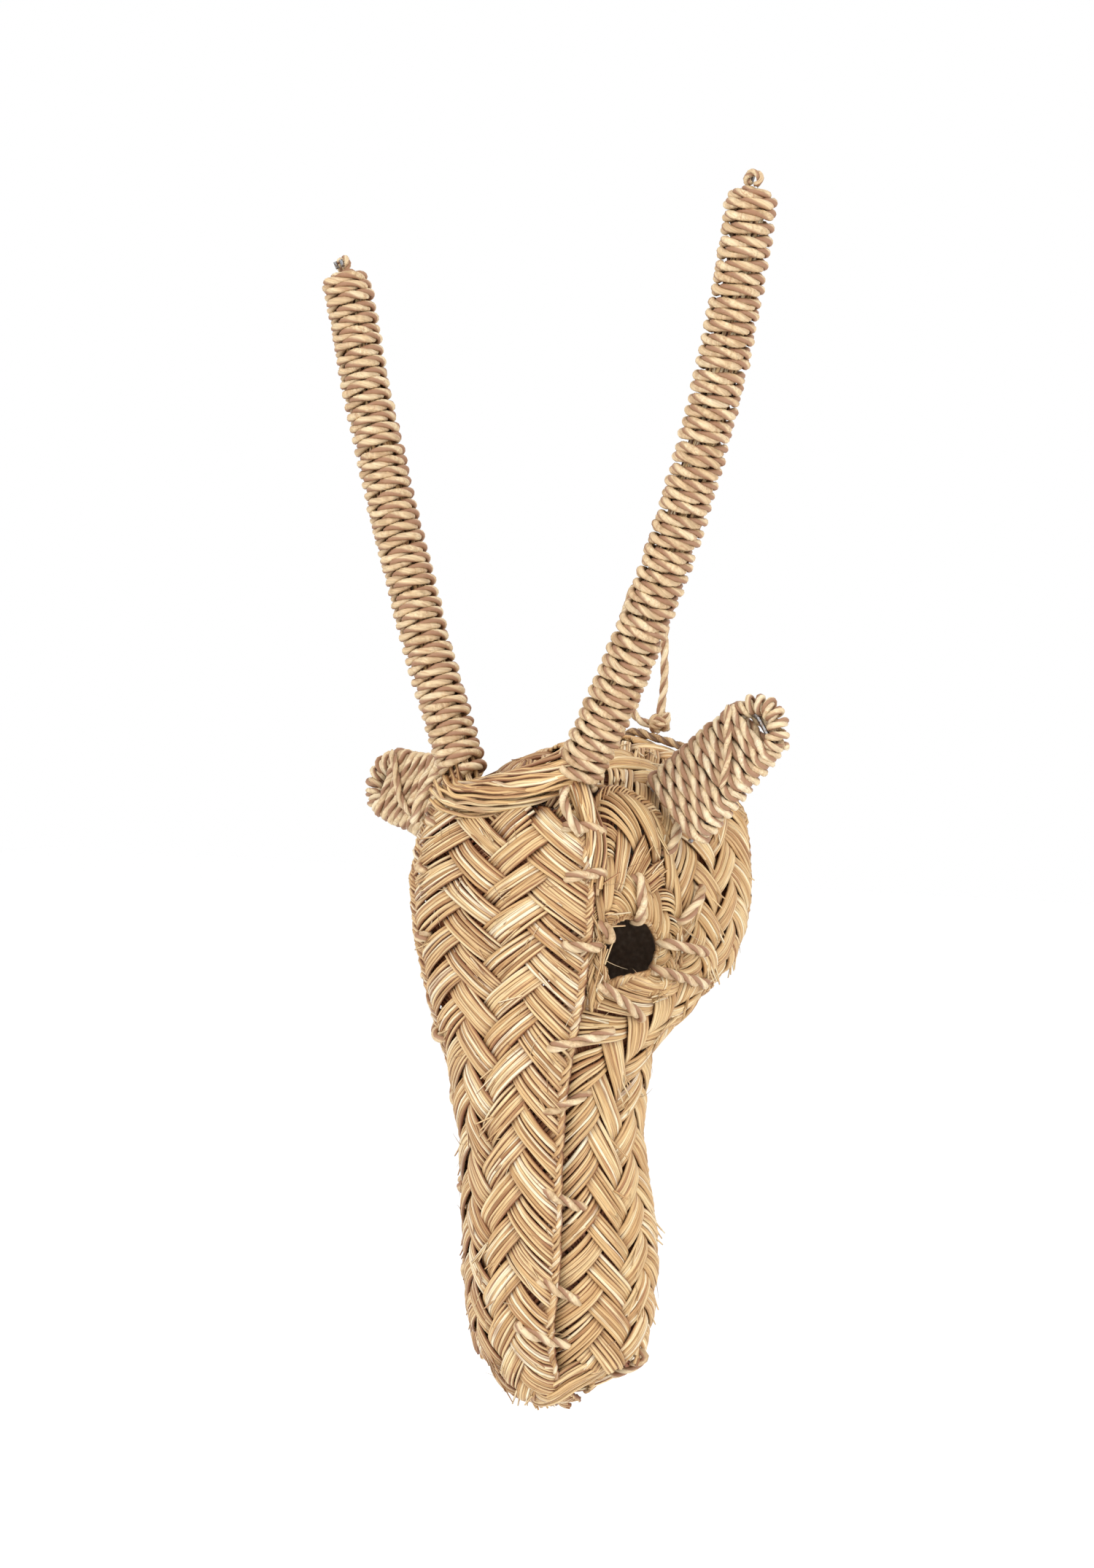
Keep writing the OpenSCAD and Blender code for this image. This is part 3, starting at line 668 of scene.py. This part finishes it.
LOOP = np.array([
    [11, -6, -64], [11, -5, -58], [12, -4, -46], [12, -4, -31], [12, -4, -16], [9, -4, -5], [5, -4, 1],
    [0, -4, 2.2], [-5, -4, 1], [-9, -4, -5], [-12, -4, -16], [-12, -4, -32], [-11, -4, -48], [-8, -4, -59],
    [-2, -5, -65], [5, -6, -67]]) * MM
KNOT_AT = np.array([11, -7, -68]) * MM


def hang():
    """The hanging loop over the nail and the knot that closes it."""
    rng = np.random.default_rng(11)
    loop = Laid()
    path = twine(loop, rng, smooth_line(LOOP), STITCH_D, lay=0.020, tone=0.45)
    made = loop.piece("hanging_loop", PALM, ["hanging_loop"])
    knot = Laid()
    # An overhand knot: the cord goes twice round itself and its end sticks out.
    f = np.linspace(0, 1, 60)
    a = 2 * math.pi * 2.15 * f
    coil = np.stack([3.1 * np.cos(a) + 1.2 * np.cos(2 * a), 2.7 * np.sin(a),
                     4.2 * (f - 0.5) + 2.2 * np.sin(1.5 * a)], axis=1) * MM + KNOT_AT + [0, 0, 0.0012]
    twine(knot, rng, coil, STITCH_D, lay=0.018, step=0.0012, tone=0.42)
    tail = smooth_line(KNOT_AT + np.array([[1.5, 0.5, 2], [4, -0.5, 3.5], [6.5, -1, 7]]) * MM)
    twine(knot, rng, tail, STITCH_D * 0.9, step=0.0012, tone=0.42, taper=0.003)
    knotted = knot.piece("hanging_knot", PALM, ["hanging_knot"])


hang()


# ---------------------------------------------------------------- plaits

def lay_plaits():
    """The face, the two sides of the head, the eyes' short plaits and the jaw."""
    rng = np.random.default_rng(3)
    face = Laid()
    woven = plait_weave(face, rng, FACE, 9, 0.0137, -1, spread=(-0.02, 1.03))
    stubs(face, rng, woven, 46)
    hairs(face, rng, FACE, 70)
    # The face's end is rolled under at the nose, in three bundles.
    curl = at([[-36, 57, 92.5], [-20, 65, 95.2], [0, 71, 96.2], [20, 75, 95.2], [35, 74, 93], [46, 66, 91],
               [50, 54, 89]])
    for drop, radius, leaves in ((0.0, 0.0040, 17), (-0.0040, 0.0034, 14), (0.0040, 0.0034, 14)):
        bundle(face, rng, smooth_line(curl + [0, -0.4 * drop, drop * 0.8], 0.003), radius, leaves, 0.25,
               leaf_w=FINE_LEAF, ragged=0.012)
    # Beside it hangs a brush of cut ends.
    f = np.linspace(0, 1, 6)
    for _ in range(44):
        p, n = FACE.on(rng.uniform(8.45, 8.9), rng.uniform(0.02, 0.34))
        way = unit(np.array([0.55 + rng.normal(0, 0.12), 0.10, -0.80 + rng.normal(0, 0.10)]))
        line = p - n * rng.uniform(0.001, 0.005) + np.outer(f * rng.uniform(0.005, 0.009), way)
        face.sweep(line, np.repeat(unit(np.cross(way, n))[None], 6, 0), 0.00062 * (1.1 - 0.2 * f), 0.0005,
                   rng.uniform(0.3, 0.9), 0.0, 6, rng.uniform(0, 5))
    face.piece("face_plait", ESPARTO, ["face_plait"])

    for side, flip in (("right", 1), ("left", -1)):
        rng = np.random.default_rng(20 + flip)
        for name, band, strands, wide, first, spread, ends in (
                ("cheek_plait_", CHEEK, 9, 0.0130, -1, (0.0, 1.07), 46),
                ("eye_plait_", EYE, 7, 0.0098, 1, (-0.10, 1.0), 14)):
            laid = Laid()
            here = Band(mirrored(band.rows), -band.way) if flip < 0 else band
            woven = plait_weave(laid, rng, here, strands, wide, first, spread=spread)
            stubs(laid, rng, woven, ends)
            hairs(laid, rng, here, 40)
            laid.piece(name + side, ESPARTO, [name + side])

    rng = np.random.default_rng(8)
    jaw = Laid()
    woven = plait_weave(jaw, rng, JAW, 11, 0.0130, -1, leaves=8)
    stubs(jaw, rng, woven, 20)
    # The jaw ends in a rolled edge, which goes round below the mouth.
    half = np.array([[47, 41, 85], [46, 43, 89.5], [37, 48, 93.3], [17, 52, 95.8]])
    chin = np.concatenate([half, [[0, 53, 96.4]], half[::-1] * [-1, 1, 1]])
    for shift, radius, leaves, turns, ragged in (
            ((0, 0, 0), 0.0037, 20, 0.5, 0.008), ((0, -4, -0.9), 0.0034, 16, 0.4, 0.010)):
        bundle(jaw, rng, smooth_line(at(chin + shift), 0.003), radius, leaves, turns, leaf_w=FINE_LEAF,
               ragged=ragged)
    jaw.piece("jaw_plait", ESPARTO, ["jaw_plait"])


lay_plaits()


def lay_brow():
    """The rolled bundle over the brow, and the tufts beside the horns."""
    rng = np.random.default_rng(5)
    brow = Laid()
    line = smooth_line(at([[-62, 82, 7], [-40, 87, 8], [-10, 90, 7], [25, 88, 5], [50, 80, 2]]), 0.003)
    bundle(brow, rng, line, 0.0095, 46, 0.42, ragged=0.004)
    bundle(brow, rng, line, 0.0062, 22, 0.30, ragged=0.003)
    # Loose ends of the side plaits are gathered behind the horn and come down beside the face.
    for shift in (0, 1):
        tuft = at([[44, 82, 3], [57, 82, 7 + shift], [65 + 3 * shift, 82, 13],
                   [66 + 4 * shift, 84, 20 + shift]])
        for way in (1, -1):
            bundle(brow, rng, smooth_line(tuft * [way, 1, 1], 0.003), 0.0046, 18, 0.35, leaf_w=FINE_LEAF,
                   ragged=0.010)
    # The brow roll gets the paler leaf, painted light against the shade that falls on it.
    brow.piece("brow_roll", ESPARTO_BENT_PAINTED_LIGHT, ["brow_roll"])


lay_brow()


# ---------------------------------------------------------------- horns

HORN_ROOT = at([46, 81, 5])


def horn_frame(left):
    """A function that gives a horn's middle, outward, sideways and forward directions at lengths along it."""
    bend = 1.480 if left else 0.740  # radius of the curve
    lean = math.radians(23.5 if left else 30)  # outwards, at the root
    turn = math.radians(7)  # back towards the wall

    def at_length(s):
        a = np.asarray(s, float) / bend
        xp, yp = bend * (np.cos(a) - 1), bend * np.sin(a)
        x = xp * math.cos(lean) + yp * math.sin(lean)
        z = -xp * math.sin(lean) + yp * math.cos(lean)
        points = np.stack([x * math.cos(turn), x * math.sin(turn), z], axis=-1) + HORN_ROOT
        ux = np.cos(a) * math.cos(lean) + np.sin(a) * math.sin(lean)
        uz = -np.cos(a) * math.sin(lean) + np.sin(a) * math.cos(lean)
        outward = np.stack([ux * math.cos(turn), ux * math.sin(turn), uz], axis=-1)
        if left:
            points, outward = mirrored(points), mirrored(outward)
        ahead = unit(np.gradient(points, axis=0))
        return points, outward, np.cross(ahead, outward), ahead

    return at_length


def wind_horn(side, left, length):
    """One horn: its winding of cord, the bundle of leaves inside and the ends of its wire."""
    rng = np.random.default_rng(40 + left)
    at_length = horn_frame(left)
    core, sleeve = 0.00685, 0.00705  # radius of the bundle of leaves and of what the cord lies on
    # The winding is one cord: close turns up to the tip, then inwards over the end.
    first, pitch = 0.0030, 0.0056
    last_turn = length - 0.0040
    total = (last_turn - first) / pitch
    turns = np.linspace(0, total, int(total * 36))
    s = first + turns * pitch + wander(rng, turns * pitch, 0.02, 0.0006)
    reach = sleeve + CORD_D / 2 + wander(rng, turns * 0.06, 0.11, 0.00035)
    closing = 1.6  # turns over the end
    close = np.linspace(0, 1, 54)[1:]
    s = np.concatenate([s, s[-1] + 0.0032 * np.sin(close * math.pi / 2)])
    reach = np.concatenate([reach, reach[-1] + (0.0022 - reach[-1]) * close ** 1.1])
    angle = 2 * math.pi * np.concatenate([turns, total + closing * close]) + (2.2 if left else 0.6)
    middle, outward, across, _ = at_length(s)
    path = middle + reach[:, None] * (np.cos(angle)[:, None] * outward + np.sin(angle)[:, None] * across)
    cord = Laid()
    twine(cord, rng, path, CORD_D * 1.13, lay=0.0235, tone=0.38, loose=1.3)
    # A small eye of finer cord stands on the tip.
    tip, outward, across, ahead = (v[-1] for v in at_length(length + np.array([-0.006, -0.002, 0.002])))
    a = np.linspace(-0.35 * math.pi, 1.35 * math.pi, 24)
    eye = (tip + np.outer(np.cos(a) * 0.0036, outward) + np.outer(0.0026 + np.sin(a) * 0.0030, ahead)
           + np.outer(np.linspace(-0.001, 0.001, len(a)), across))
    twine(cord, rng, eye, STITCH_D * 0.85, lay=0.013, step=0.0011, tone=0.5)
    cord.piece("horn_cord_" + side, PALM, ["horn_cord_" + side], wall=False)

    inside = Laid()
    middle, *_ = at_length(np.linspace(-0.016, length - 0.002, 80))
    bundle(inside, rng, middle, core, 26, 0.6, leaf_w=0.00098, ragged=0.010)
    inside.piece("horn_core_" + side, ESPARTO_BENT_PAINTED_LIGHT, ["horn_core_" + side], wall=False)

    # The bent wire's two bare ends show at the tip.
    ends = Laid()
    wire_r = 0.0009
    f = np.linspace(0, 1, 5)
    for out in (-0.0021, 0.0019):
        wire = (tip + outward * out + np.outer(0.001 + 0.0035 * f, ahead)
                + np.outer(0.0025 + 0.0012 * f, across))
        ends.sweep(wire, np.repeat(outward[None], len(f), 0), wire_r, wire_r, 0.5, 0.0, 8)
    ends.piece("wire_end_" + side, WIRE, (), wall=False)


wind_horn("right", False, 0.288)
wind_horn("left", True, 0.258)


# ---------------------------------------------------------------- ears

EAR_ROOT = at([89, 52, 10])
EAR_LEN, EAR_ROOT_W, EAR_TIP_W = 0.077, 0.047, 0.037
EAR_WIRE_D = 0.0024


def ear_frame(left, lift):
    """A function that puts an ear's own points on the head: x out along it, y through it and z across it."""
    turn = np.array(Matrix.Rotation(math.radians(13), 3, "Z") @ Matrix.Rotation(math.radians(-lift), 3, "Y")
                    @ Matrix.Rotation(math.radians(-16), 3, "X"))

    def place(points):
        moved = np.asarray(points, float) @ turn.T + EAR_ROOT
        return mirrored(moved) if left else moved

    return place


def ear_half(x):
    """Half the ear's width at lengths along it: straight sides, then a round tip."""
    tip = EAR_TIP_W / 2
    side = EAR_ROOT_W / 2 + (tip - EAR_ROOT_W / 2) * np.minimum(x / (EAR_LEN - tip), 1)
    over = np.maximum(x - (EAR_LEN - tip), 0)
    return np.sqrt(np.maximum(side ** 2 - over ** 2, 1e-9))


def wind_ear(side, left, lift):
    """One ear: cord wound flat on a loop of wire, which points lift degrees above the level."""
    rng = np.random.default_rng(60 + left)
    place = ear_frame(left, lift)
    thick = (CORD_D + EAR_WIRE_D) / 2 + 0.0002  # from the ear's middle to the cord's
    first, pitch = 0.0026, 0.0052
    last_turn = EAR_LEN - 0.0150
    total = (last_turn - first) / pitch
    turns = np.linspace(0, total, int(total * 60))
    x = first + turns * pitch + wander(rng, turns * pitch, 0.013, 0.0005)
    half = ear_half(x) - CORD_D / 2
    angle = 2 * math.pi * turns
    # A flat oval: straight over each face, and round the wire at each edge.
    c, d = np.cos(angle), np.sin(angle)
    z = np.sign(c) * (half - thick) * np.clip(np.abs(c) * 1.75, 0, 1) + thick * c
    y = thick * np.sign(d) * np.abs(d) ** 0.42
    slant = 0.0022 * np.sin(angle - 0.6)
    path = np.stack([x + slant, y + wander(rng, turns * 0.1, 0.05, 0.0003), z], axis=1)
    cord = Laid()
    twine(cord, rng, place(path), CORD_D * 1.12, lay=0.0225, tone=0.58, loose=1.3)
    # Round the tip the cord is wound on the wire alone: bow is the wire's own radius there, small the coil's.
    centre_x, bow = EAR_LEN - EAR_TIP_W / 2, EAR_TIP_W / 2 - 0.0060
    arc = np.linspace(math.radians(-97), math.radians(97), 400)
    coil = np.linspace(0, 2 * math.pi * 8.5, len(arc))
    small = (EAR_WIRE_D + CORD_D) / 2 - 0.0003
    reach = bow + small * np.cos(coil)
    tip = np.stack([centre_x + reach * np.cos(arc), small * np.sin(coil), reach * np.sin(arc)], axis=1)
    twine(cord, rng, place(tip), CORD_D * 0.93, lay=0.021, tone=0.52)
    # One turn crosses the others where the cord was finished off.
    cross = np.array([[0.058, -0.0075, 0.016], [0.050, -0.0078, 0.006], [0.040, -0.0076, -0.006],
                      [0.030, -0.0066, -0.012]])
    twine(cord, rng, place(smooth_line(cross)), CORD_D * 0.8, tone=0.5, taper=0.004)
    cord.piece("ear_cord_" + side, PALM, ["ear_cord_" + side], wall=False)


wind_ear("right", False, 44)
wind_ear("left", True, 9)
# The back sheet gets the felt whose grey-brown is painted shade, the wall in shade seen through the eye.
for node, material in (("horn_wire_right", WIRE), ("horn_wire_left", WIRE), ("ear_wire_right", WIRE),
                       ("ear_wire_left", WIRE), ("back_sheet", PAINTED_SHADE_FELT)):
    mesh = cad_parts[node].data
    mesh.materials.clear()
    mesh.materials.append(material)


# ---------------------------------------------------------------- stitches, lashings and the cord on the rim

def stitched(laid, rng, a, b, tone=0.42):
    """One stitch: up through one plait, over the seam and down through the next. a and b are a point and a
    normal of each plait."""
    (p, n), (q, m) = a, b
    r = STITCH_D / 2
    deep = 0.0045
    over = unit(n + m)
    slant = unit(q - p) * 0.001
    line = [p - n * deep - slant, p + n * r * 0.3, p * 0.78 + q * 0.22 + over * r * 1.15,
            (p + q) / 2 + over * r * 1.3, p * 0.22 + q * 0.78 + over * r * 1.15, q + m * r * 0.3,
            q - m * deep + slant]
    twine(laid, rng, smooth_line(line, 0.0012), STITCH_D * 1.22, lay=0.021, step=0.0012, tone=tone)


def sew():
    """The stitches and lashings that hold the pieces together, and the cord along the rim."""
    rng = np.random.default_rng(70)
    for side, flip in (("right", 1), ("left", -1)):
        left = flip < 0

        def seat(band, s, t):
            """A point and a normal of this side's plait."""
            p, n = band.on(s, t)
            return (mirrored(p), mirrored(n)) if left else (p, n)

        ear = Laid()
        stitched(ear, rng, seat(CHEEK, 2.4, 0.86), seat(EYE, 4.2, 0.12))
        stitched(ear, rng, seat(CHEEK, 3.5, 0.8), seat(EYE, 5, 0.2))
        ear.piece("ear_lashing_" + side, PALM, ["ear_lashing_" + side])

        seam = Laid()
        edge = 0.09 if left else 0.91
        for s, band, s2, t2 in ((0.5, EYE, 2.6, 0.1), (1.6, EYE, 2.2, 0.25), (2.5, EYE, 1.2, 0.4),
                                (3.6, CHEEK, 7.6, 0.86), (4.4, CHEEK, 8.6, 0.86), (5.3, CHEEK, 9.6, 0.86),
                                (6.2, CHEEK, 10.6, 0.86)):
            # From the eye down, the stitches are pulled in between the leaves.
            sunk = 0.0032 if s > 4 else 0.0
            (p, n), (q, m) = FACE.on(s, edge), seat(band, s2, t2)
            stitched(seam, rng, (p - n * sunk, n), (q - m * sunk, m))
        seam.piece("seam_stitches_" + side, PALM, ["seam_stitches_" + side])

        eye = Laid()
        for s, t2 in ((1.6, 0.55), (3.3, 0.6)):
            stitched(eye, rng, seat(EYE, s, 0.97), seat(EYE, s, t2))
        stitched(eye, rng, seat(EYE, 5, 0.85), seat(CHEEK, 4.6, 0.82))
        stitched(eye, rng, seat(EYE, 5.9, 0.85), seat(CHEEK, 5.5, 0.6))
        stitched(eye, rng, seat(EYE, 0.2, 0.6), seat(CHEEK, 6.9, 0.8))
        eye.piece("eye_stitches_" + side, PALM, ["eye_stitches_" + side])

    nose = Laid()
    stitched(nose, rng, FACE.on(6.8, 0.8), CHEEK.on(11.3, 0.95))
    stitched(nose, rng, CHEEK.on(11.8, 0.3), JAW.on(6.4, 0.15))
    nose.piece("nose_stitches", PALM, ["nose_stitches"])

    for side, points in (
            ("right", [[30, -110, -88], [33, -118, -96], [37, -120, -105], [43, -118, -114]]),
            ("left", [[-42, -111, -84], [-48, -116, -94], [-52, -119, -103], [-55, -118, -112]])):
        lash = Laid()
        twine(lash, rng, smooth_line(np.array(points) * MM), CORD_D, lay=0.021, step=0.0012, tone=0.47)
        lash.piece("horn_lashing_" + side, PALM, ["horn_lashing_" + side])

    rim = Laid()
    s = np.linspace(0, 1.2, 30)
    t = np.full(len(s), 0.13)
    rise = STITCH_D / 2 + 0.0003
    half = CHEEK.face(s, t) + rise * CHEEK.out(s, t)
    line = np.concatenate([half[::-1], mirrored(half[1:21])])
    twine(rim, rng, line, STITCH_D, lay=0.016, step=0.0012, tone=0.5)
    rim.piece("rim_cord", ESPARTO_CORD, ["rim_cord"])


sew()


# ---------------------------------------------------------------- floor, backdrop and sky

def stage_card(name, corners, colour):
    mesh = bpy.data.meshes.new(name)
    mesh.from_pydata(corners, [], [(0, 1, 2, 3)])
    mesh.materials.append(plain(name + "_paint", colour, 0.95))
    card = bpy.data.objects.new(name, mesh)
    bpy.context.scene.collection.objects.link(card)


FLOOR_Z, FAR = -0.9, 8
stage_card("floor", [(-FAR, -FAR, FLOOR_Z), (FAR, -FAR, FLOOR_Z), (FAR, FAR, FLOOR_Z), (-FAR, FAR, FLOOR_Z)],
           "#FFFFFF")
world = bpy.data.worlds.new("studio")
world.use_nodes = True
world.node_tree.nodes["Background"].inputs["Color"].default_value = (1.0, 1.0, 1.0, 1.0)
world.node_tree.nodes["Background"].inputs["Strength"].default_value = 1.0
bpy.context.scene.world = world
bpy.context.scene.view_settings.view_transform = "Standard"
